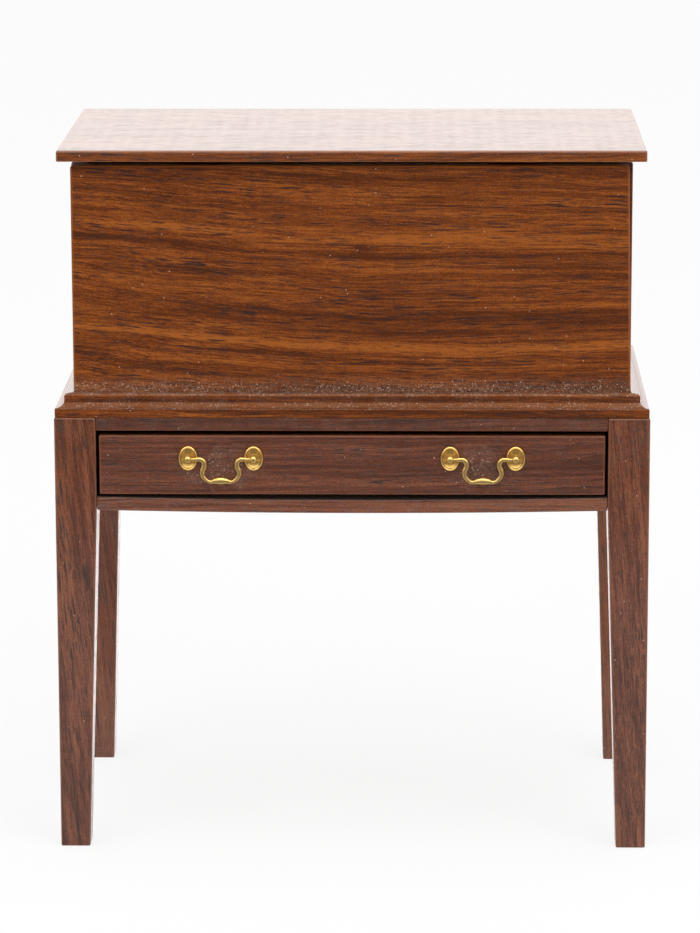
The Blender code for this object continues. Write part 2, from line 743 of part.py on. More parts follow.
def make_bail(name, parent):
    """A swan-neck bail: a wire that hangs from its two posts and swells to a grip at the bottom."""
    post = PULL_BORING / 2
    half = [
        (post + BAIL_END_REACH, 0, BAIL_END_RADIUS),
        (post - KNOB_RADIUS - BAIL_END_REACH, 0, BAIL_END_RADIUS),
        *((post - inward, -drop, radius) for inward, drop, radius in BAIL_NECK),
    ]
    route = [
        *half,
        (0, -BAIL_DROP, BAIL_GRIP_RADIUS),
        *((-x, z, radius) for x, z, radius in reversed(half)),
    ]
    data = bpy.data.curves.new(name, "CURVE")
    data.dimensions = "3D"
    data.bevel_depth = BAIL_WIRE_RADIUS
    data.bevel_resolution = 2
    data.resolution_u = 4
    data.use_fill_caps = True
    spline = data.splines.new("BEZIER")
    spline.radius_interpolation = "EASE"
    spline.bezier_points.add(len(route) - 1)
    straight_ends = (0, 1, len(route) - 2, len(route) - 1)
    for number, (point, (x, z, radius)) in enumerate(zip(spline.bezier_points, route)):
        point.co = (x, 0, z)
        point.radius = radius / BAIL_WIRE_RADIUS
        handle = "VECTOR" if number in straight_ends else "AUTO"
        point.handle_left_type = handle
        point.handle_right_type = handle
    put(name, data, place_of(parent), BRASS, parent)


def make_pull(side_name, side, drawer_front):
    """Two rosettes, two posts through the drawer front, and the bail that swings in the posts."""
    x = side * PULL_X
    name = "pull_" + side_name
    axis = pivot(name + "_axis", (x, PIVOT_Y, PIVOT_Z), DRAWER_SLIDE)
    eyes = rod(
        name + "_eyes",
        (x, PIVOT_Y, PIVOT_Z),
        BAIL_END_RADIUS + TURN_GAP,
        PULL_BORING + 4 * KNOB_RADIUS,
        AIM_ALONG_X,
    )
    for post_name, post_side in SIDES.items():
        place = (x + post_side * PULL_BORING / 2, DRAWER_FRONT_Y, PIVOT_Z)
        rosette = turned(
            f"{name}_rosette_{post_name}", rosette_profile(), place, AIM_AT_FRONT, BRASS, DRAWER_SLIDE
        )
        rosette.scale.x = ROSETTE_WIDTH / ROSETTE_HEIGHT
        hole = rod(
            f"{name}_hole_{post_name}",
            place,
            POST_RADIUS + GLUE_GAP,
            4 * DRAWER_FRONT_THICKNESS,
            AIM_AT_FRONT,
            steps=ROUND_STEPS,
        )
        boolean(rosette, hole, "DIFFERENCE")
        boolean(drawer_front, hole, "DIFFERENCE")
        post = turned(
            f"{name}_post_{post_name}", post_profile(), place, AIM_AT_FRONT, BRASS, DRAWER_SLIDE
        )
        boolean(post, eyes, "DIFFERENCE")
    make_bail("bail_" + side_name, axis)


ROOT = pivot("cellarette_origin", (0, 0, 0))
LID_AXIS = pivot("lid_axis", (0, HINGE_Y, HINGE_Z), ROOT)
DRAWER_SLIDE = pivot("drawer_slide", (0, DRAWER_FRONT_Y, PIVOT_Z), ROOT)

make_stand()
make_moulding()
case_back_board = make_case()
make_dividers()
lid_board = make_lid()
drawer_front_board = make_drawer()
for side_label, side_sign in SIDES.items():
    make_hinge(side_label, side_sign, case_back_board, lid_board)
    make_pull(side_label, side_sign, drawer_front_board)
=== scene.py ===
"""Finishes a one-twelfth scale cellarette in walnut and brass and sets it in a white studio.

Metres, +Z up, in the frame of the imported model. Left and right are as seen from the front.
"""

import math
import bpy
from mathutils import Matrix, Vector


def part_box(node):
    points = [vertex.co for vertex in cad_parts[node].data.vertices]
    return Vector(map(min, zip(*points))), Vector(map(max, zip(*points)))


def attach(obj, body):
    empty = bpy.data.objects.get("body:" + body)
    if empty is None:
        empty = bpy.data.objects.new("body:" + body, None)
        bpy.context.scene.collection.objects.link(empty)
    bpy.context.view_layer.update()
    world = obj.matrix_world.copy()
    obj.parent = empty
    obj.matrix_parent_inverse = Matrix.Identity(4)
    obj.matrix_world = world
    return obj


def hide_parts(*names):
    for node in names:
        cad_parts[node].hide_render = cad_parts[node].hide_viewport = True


bl_info = {
    "name": "Cellarette finish",
    "version": (1, 0, 0),
    "blender": (4, 5, 0),
    "location": "View3D > Sidebar > Cellarette",
    "description": "Walnut, brass pulls and a white studio for a small cellarette",
    "category": "Object",
}

import bmesh
import bpy
from bpy.props import FloatProperty, FloatVectorProperty, IntProperty, PointerProperty
from mathutils import Matrix, Vector

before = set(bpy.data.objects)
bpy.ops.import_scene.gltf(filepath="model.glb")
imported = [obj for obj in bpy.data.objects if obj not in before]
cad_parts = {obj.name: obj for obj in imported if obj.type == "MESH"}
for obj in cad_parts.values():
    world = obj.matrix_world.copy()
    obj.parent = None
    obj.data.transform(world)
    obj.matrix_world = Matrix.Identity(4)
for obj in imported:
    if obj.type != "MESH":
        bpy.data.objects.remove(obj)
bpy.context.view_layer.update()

SIDES = ("left", "right")
PULL_POSTS = [(pull, post) for pull in SIDES for post in SIDES]
AXES = ("X", "Y", "Z")
MM = 1000.0
SHARP_ANGLE = math.radians(38)
MERGE_DISTANCE = 1e-7

# Colours of the dust and lint that lie on the wood, and the near-black of a painted shade on tops
DUST_HAZE = (0.225, 0.150, 0.112)
DUST_SPECK = (0.560, 0.420, 0.330)
PAINTED_SHADE_DARK = (0.010, 0.0055, 0.0045)

# Scales of the grain, along it and across it, in lumps per millimetre
DRIFT = (0.022, 0.03)
RIPPLE = (0.11, 0.25)
BAND = (0.011, 0.40)
STREAK = (0.04, 1.6)
FIBRE = (0.26, 10.0)
GRIT = (5.0, 9.0)
LINE = (0.016, 1.3)
LINE_PATCH = (0.02, 0.5)
PORE_PATCH = (0.03, 0.7)
LONG_PORE = (0.26, 3.8)
SHORT_PORE = (0.60, 7.5)

# How much each kind of grain counts in the wood's tone
BAND_SHARE = 0.80
STREAK_SHARE = 1.25
GRIT_SHARE = 0.85
LINE_SHARE = 0.30

# Specks of lint and grains of dust to a millimetre
SPECKS = 7.0
POWDER = 9.0

# Clouds and grit in the brass, in lumps per millimetre
BRASS_CLOUD = 1.0
BRASS_GRIT = 9.0

# Height of the bumps in a finish
GRAIN_RELIEF = 0.00003
BRASS_RELIEF = 0.00004


def middle_of(node):
    low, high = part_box(node)
    return (low + high) / 2


def span_of(node):
    low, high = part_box(node)
    return high - low


# Places on the CAD part
ROSETTE_SPAN = span_of("pull_left_rosette_left")
POST_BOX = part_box("pull_left_post_left")
PULL_BORING = middle_of("pull_left_post_right").x - middle_of("pull_left_post_left").x
PULL_Z = middle_of("pull_left_post_left").z
DRAWER_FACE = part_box("drawer_front")[0].y
ROSETTE_GAP = DRAWER_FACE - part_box("pull_left_rosette_left")[1].y
KNOB_RADIUS = span_of("pull_left_post_left").z / 2
PIVOT_OUT = DRAWER_FACE - POST_BOX[0].y - KNOB_RADIUS

# Heights and places for the finishes, in millimetres
PULL_X_MM = middle_of("bail_right").x * MM
PULL_Z_MM = PULL_Z * MM
BOX_FOOT_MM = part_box("moulding_front")[1].z * MM
STAND_TOP_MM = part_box("leg_front_left")[1].z * MM


def colour(name, description, value):
    return FloatVectorProperty(
        name=name, description=description, subtype="COLOR", size=3, min=0.0, max=1.0, default=value
    )


def length(name, description, value):
    return FloatProperty(
        name=name, description=description, default=value, min=0.0, precision=6, unit="LENGTH"
    )


def angle(name, description, value):
    return FloatProperty(name=name, description=description, default=value, subtype="ANGLE")


def amount(name, description, value):
    return FloatProperty(name=name, description=description, default=value, min=0.0)


def share(name, description, value):
    return FloatProperty(
        name=name, description=description, default=value, min=0.0, max=1.0, subtype="FACTOR"
    )


class BoxWood(bpy.types.PropertyGroup):
    """The walnut of the box, its lid and the moulding under it."""

    dark: colour("Dark streaks", "Colour of the dark growth bands", (0.066, 0.0162, 0.0036))
    brown: colour("Brown", "Colour of most of the wood", (0.147, 0.0355, 0.0062))
    light: colour("Light streaks", "Colour of the light growth bands", (0.262, 0.0740, 0.0112))
    pore: colour("Pores", "Colour of the open pores", (0.022, 0.0120, 0.0110))
    fineness: amount("Fineness", "How fine the grain is", 1.25)
    contrast: amount("Contrast", "How much the bands and streaks stand out", 1.15)
    fibre: amount("Fibre", "How much the fibres stand out", 1.2)
    pore_depth: share("Pore depth", "How much the pores stand out", 0.95)
    wave: length("Wave", "How far the grain wanders off its line", 0.0009)
    sheen: share("Sheen", "Strength of the reflection; 0.5 is full polish", 0.08)
    roughness: share("Roughness", "Roughness of the polish", 0.36)
    lid_sheen: share("Lid sheen", "Strength of the lid's reflection", 0.50)
    lid_roughness: share("Lid roughness", "Roughness of the lid's polish", 0.10)
    lint: share("Lint", "Share of the surface that holds a speck of lint", 0.0012)


class StandWood(bpy.types.PropertyGroup):
    """The darker, redder walnut of the legs, the rails, the aprons and the drawer front."""

    dark: colour("Dark streaks", "Colour of the dark growth bands", (0.054, 0.0170, 0.0090))
    brown: colour("Brown", "Colour of most of the wood", (0.119, 0.0370, 0.0192))
    light: colour("Light streaks", "Colour of the light growth bands", (0.205, 0.0730, 0.0345))
    pore: colour("Pores", "Colour of the open pores", (0.022, 0.0120, 0.0110))
    fineness: amount("Fineness", "How fine the grain is", 1.7)
    contrast: amount("Contrast", "How much the bands and streaks stand out", 1.1)
    fibre: amount("Fibre", "How much the fibres stand out", 0.7)
    pore_depth: share("Pore depth", "How much the pores stand out", 0.90)
    wave: length("Wave", "How far the grain wanders off its line", 0.0005)
    sheen: share("Sheen", "Strength of the reflection; 0.5 is full polish", 0.20)
    roughness: share("Roughness", "Roughness of the polish", 0.26)
    leg_fineness: amount("Leg fineness", "How fine the grain of the bolder legs is", 0.9)
    leg_contrast: amount("Leg contrast", "How much the bands stand out on those legs", 1.2)
    leg_slope: amount("Leg slope", "Slope of the grain in the legs", 0.10)
    leg_sheen: share("Leg sheen", "Strength of the reflection on the legs", 0.40)
    leg_roughness: share("Leg roughness", "Roughness of the legs' polish", 0.10)
    # Painted shade: how far the rails' up-facing tops are darkened, so that the slit under the drawer
    # reads dark
    painted_top_shade: share("Grime", "How dark the rails' hidden tops are", 0.9)
    lint: share("Lint", "Share of the surface that holds a speck of lint", 0.0015)


class InsideWood(bpy.types.PropertyGroup):
    """The plain wood of the drawer's inside, the dividers and the runners."""

    dark: colour("Dark streaks", "Colour of the dark growth bands", (0.260, 0.135, 0.060))
    brown: colour("Brown", "Colour of most of the wood", (0.400, 0.230, 0.110))
    light: colour("Light streaks", "Colour of the light growth bands", (0.520, 0.330, 0.170))
    pore: colour("Pores", "Colour of the open pores", (0.160, 0.080, 0.040))
    fineness: amount("Fineness", "How fine the grain is", 1.6)
    contrast: amount("Contrast", "How much the bands and streaks stand out", 1.0)
    fibre: amount("Fibre", "How much the fibres stand out", 1.6)
    pore_depth: share("Pore depth", "How much the pores stand out", 0.50)
    wave: length("Wave", "How far the grain wanders off its line", 0.0005)
    sheen: share("Sheen", "Strength of the reflection; 0.5 is full polish", 0.25)
    roughness: share("Roughness", "Roughness of the bare wood", 0.65)
    lint: share("Lint", "Share of the surface that holds a speck of lint", 0.0005)


class PullBrass(bpy.types.PropertyGroup):
    """The brass of the pulls and hinges, and the shape of the pulls."""

    brass: colour("Brass", "Colour of the clean brass", (0.86, 0.550, 0.165))
    # This colour also paints the shade and dark reflections on the pulls
    tarnish_and_shade: colour("Tarnish", "Colour of the tarnished brass", (0.21, 0.168, 0.072))
    roughness: share("Roughness", "Roughness of the brass", 0.28)
    field: length("Field", "Thickness of a rosette at its middle", 0.00010)
    dish: length("Dish", "How much a rosette's field rises to its edge", 0.00010)
    rim: length("Rim", "Radius of the bead round a rosette", 0.00012)
    neck: length("Neck", "Radius of a post's neck", 0.00020)
    collar: length("Collar", "Radius of the collar that holds the rosette", 0.00034)
    collar_height: length("Collar height", "Height of that collar", 0.00012)
    wire: length("Wire", "Radius of the bail's wire", 0.00025)
    wire_end: length("Wire end", "Radius of the bail's ends in the posts", 0.00014)
    wire_end_reach: length("End reach", "How far an end goes past the middle of its post", 0.00017)
    play: length("Play", "Gap round a bail's end in its post", 0.00004)
    grip: length("Grip", "Radius of the bail at the middle of its grip", 0.00036)
    drop: length("Drop", "How far the grip hangs below the posts", 0.00219)
    steps: IntProperty(name="Steps", description="Facets round a turned piece", default=48, min=12)


class Studio(bpy.types.PropertyGroup):
    """The camera, the lamps and the white surroundings."""

    place: FloatVectorProperty(
        name="Camera",
        description="Where the camera stands",
        subtype="XYZ",
        size=3,
        default=(0.0081367, -0.4228187, 0.1281326),
    )
    pan: angle("Pan", "Turn of the camera to the right", -0.0205)
    tilt: angle("Tilt", "Turn of the camera downwards", 0.2138)
    roll: angle("Roll", "Lean of the camera", -0.0026)
    lens: FloatProperty(name="Lens", description="Focal length in millimetres", default=159.01, min=1.0)
    white: colour("White", "Colour of the surroundings", (0.985, 0.985, 0.985))
    floor: colour("Floor", "Colour of the floor round the piece", (0.963, 0.963, 0.963))
    dark_floor: colour("Dark floor", "Colour of the far floor in reflections", (0.06, 0.06, 0.06))
    warmth: colour("Warmth", "Colour of the room in reflections", (1.0, 0.945, 0.925))
    sky: amount("Sky", "Light from all round", 0.62)
    lamps: amount("Lamps", "Power of the soft lamps", 1.0)


class Settings(bpy.types.PropertyGroup):
    """Everything that a user may change."""

    box: PointerProperty(type=BoxWood)
    stand: PointerProperty(type=StandWood)
    inside: PointerProperty(type=InsideWood)
    pulls: PointerProperty(type=PullBrass)
    studio: PointerProperty(type=Studio)


class Value:
    """A number, colour or vector in a node tree; sums on numbers add Math nodes."""

    def __init__(self, tree, socket):
        self.tree = tree
        self.socket = socket

    def math(self, operation, *terms):
        return self.tree.node("ShaderNodeMath", {"operation": operation}, dict(enumerate(terms)))

    def __add__(self, other):
        return self.math("ADD", self, other)

    def __sub__(self, other):
        return self.math("SUBTRACT", self, other)

    def __rsub__(self, other):
        return self.math("SUBTRACT", other, self)

    def __mul__(self, other):
        return self.math("MULTIPLY", self, other)

    def __abs__(self):
        return self.math("ABSOLUTE", self)

    __radd__ = __add__
    __rmul__ = __mul__

    def larger(self, other):
        return self.math("MAXIMUM", self, other)

    def above(self, limit):
        return self.math("GREATER_THAN", self, limit)

    def rising(self, start, end):
        """0 up to start and 1 from end, smoothly; it falls where end is below start."""
        return self.tree.node(
            "ShaderNodeMapRange",
            {"interpolation_type": "SMOOTHSTEP"},
            {"Value": self, "From Min": start, "From Max": end},
        )


class Tree:
    """A node tree that is filled by calls."""

    def __init__(self, tree):
        self.tree = tree
        tree.nodes.clear()

    def node(self, kind, settings=None, inputs=None, outputs=0):
        """Adds a node; returns its output, a list where outputs is a tuple, or None at the tree's end."""
        made = self.tree.nodes.new(kind)
        for key, value in (settings or {}).items():
            if key == "stops":
                self.set_stops(made.color_ramp, value)
            else:
                setattr(made, key, value)
        for key, value in (inputs or {}).items():
            if isinstance(value, Value):
                self.tree.links.new(value.socket, made.inputs[key])
            else:
                made.inputs[key].default_value = value
        if isinstance(outputs, tuple):
            return [Value(self, made.outputs[name]) for name in outputs]
        return Value(self, made.outputs[outputs]) if made.outputs else None

    def set_stops(self, ramp, stops):
        while len(ramp.elements) < len(stops):
            ramp.elements.new(0.5)
        for element, (position, value) in zip(ramp.elements, stops):
            element.position = position
            element.color = (*value, 1.0)

    def vector(self, x, y, z):
        return self.node("ShaderNodeCombineXYZ", {}, {"X": x, "Y": y, "Z": z})

    def parts(self, vector):
        """The three numbers of a vector."""
        return self.node("ShaderNodeSeparateXYZ", {}, {0: vector}, AXES)

    def mix(self, factor, first, second):
        """A colour between two colours."""
        settings = {"data_type": "RGBA", "clamp_factor": True}
        first, second = (c if isinstance(c, Value) else (*c, 1.0) for c in (first, second))
        return self.node("ShaderNodeMix", settings, {0: factor, 6: first, 7: second}, 2)

    def noise(self, place, detail, roughness):
        sizes = {"Vector": place, "Scale": 1.0, "Detail": detail, "Roughness": roughness}
        return self.node("ShaderNodeTexNoise", {}, sizes)

    def cells(self, place):
        """Distance to the nearest of many scattered points, and a random number of that point."""
        sizes = {"Vector": place, "Scale": 1.0}
        distance, tint = self.node("ShaderNodeTexVoronoi", {}, sizes, ("Distance", "Color"))
        return distance, self.node("ShaderNodeSeparateColor", {}, {"Color": tint})

    def rays(self):
        """Whether light goes to the camera, to a reflection, or to something seen through."""
        names = ("Is Camera Ray", "Is Glossy Ray", "Is Transmission Ray")
        return self.node("ShaderNodeLightPath", {}, {}, names)


class Spot:
    """A spot on a surface: its place in millimetres and the way it faces."""

    def __init__(self, tree):
        place, normal = tree.node("ShaderNodeTexCoord", {}, {}, ("Object", "Normal"))
        in_mm = tree.node("ShaderNodeMapping", {}, {"Vector": place, "Scale": (MM, MM, MM)})
        self.tree = tree
        self.x, self.y, self.z = tree.parts(in_mm)
        self.facing = dict(zip(AXES, tree.parts(normal)))

    def scaled(self, per_mm):
        return self.tree.vector(self.x * per_mm, self.y * per_mm, self.z * per_mm)

    def noise(self, per_mm, detail=2.0, roughness=0.6):
        return self.tree.noise(self.scaled(per_mm), detail, roughness)


class Grain:
    """Places in a board: u along the grain, and across and depth that wander and slope with it."""

    def __init__(self, spot, along, shift, wave, slope):
        places = dict(zip(AXES, (spot.x, spot.y, spot.z)))
        moved = {axis: places[axis] + move for axis, move in zip(AXES, shift)}
        second, third = (axis for axis in "ZXY" if axis != along)
        self.tree = spot.tree
        self.u, self.v, self.w = moved[along], moved[second], moved[third]
        self.offset = dict(zip(AXES, shift))[second]
        drift = self.tree.noise(self.straight(DRIFT), 0.0, 0.5) - 0.5
        ripple = self.tree.noise(self.straight(RIPPLE), 1.0, 0.5) - 0.5
        bend = drift * (4 * wave) + ripple * (0.7 * wave) + self.u * slope
        self.across = self.v + bend
        self.depth = self.w + bend * 0.5

    def straight(self, scale):
        """A place for noise that does not wander with the grain."""
        along, across = scale
        return self.tree.vector(self.u * along, self.v * across, self.w * across)

    def wavy(self, scale, fineness, lift):
        """A place for noise that follows the grain; lift takes it to other noise."""
        along, across = (part * fineness for part in scale)
        return self.tree.vector(self.u * along + lift, self.across * across, self.depth * across)

    def noise(self, scale, detail, roughness, lift, fineness=1.0):
        """Noise from -0.5 to 0.5 along the grain."""
        return self.tree.noise(self.wavy(scale, fineness, lift), detail, roughness) - 0.5

    def cells(self, scale, fineness):
        return self.tree.cells(self.wavy(scale, fineness, 0.0))


def new_material(name):
    material = bpy.data.materials.new(name)
    material.use_nodes = True
    return material, Tree(material.node_tree)


def finish_material(tree, constants, **varying):
    """Adds the surface shader: what is the same all over, and what changes over the surface."""
    shader = tree.node("ShaderNodeBsdfPrincipled", {}, {**constants, **varying})
    tree.node("ShaderNodeOutputMaterial", {}, {"Surface": shader})


def dust_at_foot(spot):
    """Dust on the box just above the moulding."""
    reach = (spot.z + (spot.noise(0.9) - 0.5) * 1.6).rising(BOX_FOOT_MM + 2.6, BOX_FOOT_MM)
    return reach * reach


def dust_and_sheen_on_edges(spot):
    """Grey dust haze on the edges of the lid, partly a painted sheen there."""
    return abs(spot.facing["Z"]).rising(0.6, 0.1) * 0.16


def dust_on_ledges(spot):
    """Dust on what faces up, thickest in the corner under the box."""
    cloud = spot.noise(0.7).rising(0.25, 0.70)
    ledge = spot.facing["Z"].rising(0.05, 0.60)
    corner = spot.z.rising(BOX_FOOT_MM - 0.16, BOX_FOOT_MM - 0.04)
    above_band = spot.z.rising(STAND_TOP_MM + 0.7, STAND_TOP_MM + 1.3)
    return ledge * (0.40 + cloud * 0.50) + corner * cloud * 0.6 + above_band * 0.30 * cloud


def dust_under_moulding(spot):
    """Dust on the stand just under the moulding."""
    cloud = spot.noise(0.6).rising(0.35, 0.70)
    return spot.z.rising(STAND_TOP_MM - 7.0, STAND_TOP_MM) * cloud * 0.25


def dust_round_pulls(spot):
    """Dust that a cloth has missed round the pulls."""
    sideways = (abs(spot.x) - PULL_X_MM) * 0.20
    upright = (spot.z - PULL_Z_MM + 0.9) * 0.36
    cloud = spot.noise(0.8) - 0.5
    return (sideways * sideways + upright * upright + cloud * 2.2).rising(0.9, 0.0) * 0.60


def tone_of(grain, wood, contrast, streak, fibre, figure):
    """How light the wood is, from its dark streaks to its light ones, about 0.5."""
    band = grain.noise(BAND, 2.0, 0.55, 0.0)
    grit = grain.tree.noise(grain.straight(GRIT), 2.0, 0.6) - 0.5
    tone = 0.5 + (band * BAND_SHARE + streak * STREAK_SHARE) * contrast
    tone = tone + fibre * wood.fibre + grit * GRIT_SHARE
    line = abs(grain.noise(LINE, 2.0, 0.5, 43.0)).rising(0.030, 0.0)
    patch = grain.noise(LINE_PATCH, 1.0, 0.5, 53.0).rising(-0.10, 0.12)
    tone = tone - line * patch * (LINE_SHARE * contrast)
    for place, half_width, lightness in figure:
        tone = tone + abs(grain.across - (place + grain.offset)).rising(half_width, 0.0) * lightness
    return tone


def pores_of(grain, fineness, fibre):
    """Open pores: long ones in patches and short ones all over, with ragged edges."""
    patch = grain.noise(PORE_PATCH, 2.0, 0.5, 31.0).rising(-0.12, 0.08)
    cell, chance = grain.cells(LONG_PORE, fineness)
    long_pores = cell.rising(0.50, 0.38) * chance.above(0.42) * patch
    cell, chance = grain.cells(SHORT_PORE, fineness)
    short_pores = cell.rising(0.46, 0.32) * chance.above(0.50)
    return long_pores.larger(short_pores * 0.7) * fibre.rising(0.12, -0.06)


def lay_dust(spot, dust, lint, tint, dullness):
    """Lays dust and specks of lint on a finish; returns its new colour and dullness."""
    cell, chance = spot.tree.cells(spot.scaled(SPECKS))
    settled = dust(spot) if dust else 0.0
    likely = (chance + settled * 0.25).rising(1.0, 1.11)
    specks = cell.rising(0.60, 0.15) * likely.larger(chance.above(1.0 - lint))
    if dust:
        powder = spot.noise(POWDER, 3.0, 0.8).rising(0.44, 0.68)
        tint = spot.tree.mix(settled * (0.03 + powder * 0.85), tint, DUST_HAZE)
        dullness = dullness + settled * 0.20
    return spot.tree.mix(specks * 0.75, tint, DUST_SPECK), dullness + specks * 0.25


def walnut(
    name,
    wood,
    along,
    shift,
    dust=None,
    slope=0.0,
    figure=(),
    painted_top_shade=0.0,
    relief=1.0,
    polish=None,
    fineness=None,
    contrast=None,
):
    """Wood with its grain along an axis: growth bands, streaks, fibres, open pores, dust and end grain.

    shift takes the piece to another place in the wood, slope is that of the grain, figure lists broad
    bands as (place across the grain, half width, lightness) in millimetres, a painted shade darkens what
    faces up by the given share, polish replaces the wood's sheen and roughness, and fineness and contrast
    replace its own.
    """
    sheen, roughness = polish or (wood.sheen, wood.roughness)
    fineness = fineness or wood.fineness
    contrast = contrast or wood.contrast
    material, tree = new_material(name)
    spot = Spot(tree)
    grain = Grain(spot, along, shift, wood.wave * MM, slope)
    streak = grain.noise(STREAK, 5.0, 0.68, 7.0, fineness)
    fibre = grain.noise(FIBRE, 3.0, 0.70, 13.0, fineness)
    tone = tone_of(grain, wood, contrast, streak, fibre, figure)
    pores = pores_of(grain, fineness, fibre)

    stops = [(0.16, wood.dark), (0.50, wood.brown), (0.84, wood.light)]
    tint = tree.node("ShaderNodeValToRGB", {"stops": stops}, {"Fac": tone})
    end_grain = abs(spot.facing[along]).rising(0.55, 0.85)
    tint = tree.mix(end_grain * 0.40, tint, wood.pore)
    tint = tree.mix(pores * wood.pore_depth, tint, wood.pore)
    side, front, top = (abs(spot.facing[axis]) for axis in AXES)
    # Edges painted lighter in the light streak colour: partly wear, partly a painted highlight where the
    # arrises catch the light
    lit_and_worn_edge = (side * front).larger(front * top).larger(side * top).rising(0.12, 0.40)
    tint = tree.mix(lit_and_worn_edge * 0.50, tint, wood.light)
    dullness = roughness + ((0.5 - tone) * 0.08 + pores * 0.20) * relief
    # Painted shade: what faces up is darkened towards a near-black colour, and made rougher
    if painted_top_shade:
        shaded_top = spot.facing["Z"].rising(0.5, 0.9) * painted_top_shade
        tint = tree.mix(shaded_top, tint, PAINTED_SHADE_DARK)
        dullness = dullness + shaded_top
    tint, dullness = lay_dust(spot, dust, wood.lint, tint, dullness)

    height = fibre * 0.6 + streak * 0.4 - pores * 1.6
    bumps = {"Strength": 0.5 * relief, "Distance": GRAIN_RELIEF, "Height": height}
    bump = tree.node("ShaderNodeBump", {}, bumps)
    varying = {"Base Color": tint, "Roughness": dullness, "Normal": bump}
    finish_material(tree, {"Specular IOR Level": sheen}, **varying)
    return material


def tarnish_and_shade_in_rosettes(spot):
    """Tarnish in a rosette's groove, and painted shade on its upper half, most in a crescent above its
    post.
    """
    from_post = abs(abs(spot.x) - PULL_X_MM) - PULL_BORING * MM / 2
    sideways = from_post * (2 / (ROSETTE_SPAN.x * MM))
    upright = (spot.z - PULL_Z_MM) * (2 / (ROSETTE_SPAN.z * MM))
    outwards = sideways * sideways + upright * upright
    groove = outwards.rising(0.54, 0.63) * outwards.rising(0.74, 0.65)
    field = outwards.rising(0.70, 0.60)
    # Painted shade: the upper half of the dish, which faces down, and a crescent above the post are
    # darkened in the tarnish colour
    shade = upright.rising(-0.30, 0.20) * 0.75
    crescent = upright.rising(0.05, 0.45) * abs(sideways).rising(0.75, 0.25)
    return groove.larger(shade.larger(crescent) * field) * 0.95


def dark_reflection_on_front(spot):
    """Painted dark reflection: the front of a bail or post is darkened in the tarnish colour, between
    brighter edges.
    """
    return spot.facing["Y"].rising(-0.68, -0.96) * 0.88


def brass(name, pulls, tarnish_and_shade=None):
    """Lacquered brass, cloudy with tarnish and a little uneven, with painted shade where a function for
    it is given.
    """
    material, tree = new_material(name)
    spot = Spot(tree)
    cloud = spot.noise(BRASS_CLOUD, 3.0)
    grit = spot.noise(BRASS_GRIT)
    stain_and_shade = cloud.rising(0.50, 0.80) * 0.35 + grit.rising(0.52, 0.80) * 0.35
    # Painted shade and painted dark reflections on the pulls join the tarnish here
    if tarnish_and_shade:
        stain_and_shade = stain_and_shade.larger(tarnish_and_shade(spot))
    tint = tree.mix(stain_and_shade, pulls.brass, pulls.tarnish_and_shade)
    roughness = pulls.roughness + stain_and_shade * 0.20 + (grit - 0.5) * 0.12
    bumps = {"Strength": 0.15, "Distance": BRASS_RELIEF, "Height": cloud}
    bump = tree.node("ShaderNodeBump", {}, bumps)
    varying = {"Base Color": tint, "Roughness": roughness, "Normal": bump}
    finish_material(tree, {"Metallic": 1.0}, **varying)
    return material


def paint(material, *nodes):
    """Gives CAD nodes a finish."""
    for name in nodes:
        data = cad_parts[name].data
        data.materials.clear()
        data.materials.append(material)


def new_object(name, data):
    """Adds an object to the scene."""
    made = bpy.data.objects.new(name, data)
    bpy.context.scene.collection.objects.link(made)
    return made


def new_mesh(name, bm):
    """Turns a bmesh into mesh data and frees it."""
    data = bpy.data.meshes.new(name)
    bm.to_mesh(data)
    bm.free()
    return data


def evaluated_mesh(source):
    """The mesh that an object's curve or modifiers make."""
    bpy.context.view_layer.update()
    graph = bpy.context.evaluated_depsgraph_get()
    return bpy.data.meshes.new_from_object(source.evaluated_get(graph))


def add_piece(name, bm, material, body, slot, *nodes):
    """Makes a mesh piece that stands for CAD nodes and rides on their body."""
    data = new_mesh(name, bm)
    data.shade_smooth()
    data.set_sharp_from_angle(angle=SHARP_ANGLE)
    data.materials.append(material)
    piece = new_object(name, data)
    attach(piece, body)
    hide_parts(*nodes)
    return piece


def arc(centre, radius, start, end, steps):
    """Points (radius, height) of a round arc in a turned profile; the angles are in degrees."""
    angles = [math.radians(start + (end - start) * i / steps) for i in range(steps + 1)]
    return [(centre[0] + radius * math.cos(a), centre[1] + radius * math.sin(a)) for a in angles]


def turned(profile, closed, steps):
    """Spins a profile of (radius, height) about the line that points at the front."""
    bm = bmesh.new()
    points = [bm.verts.new((radius, -height, 0)) for radius, height in profile]
    pairs = list(zip(points, points[1:] + points[:1] if closed else points[1:]))
    edges = [bm.edges.new(pair) for pair in pairs]
    bmesh.ops.spin(
        bm,
        geom=points + edges,
        cent=(0, 0, 0),
        axis=(0, 1, 0),
        angle=math.tau,
        steps=steps,
        use_merge=True,
    )
    bmesh.ops.remove_doubles(bm, verts=bm.verts[:], dist=MERGE_DISTANCE)
    bmesh.ops.recalc_face_normals(bm, faces=bm.faces[:])
    return bm


def settings():
    return bpy.context.scene.cellarette


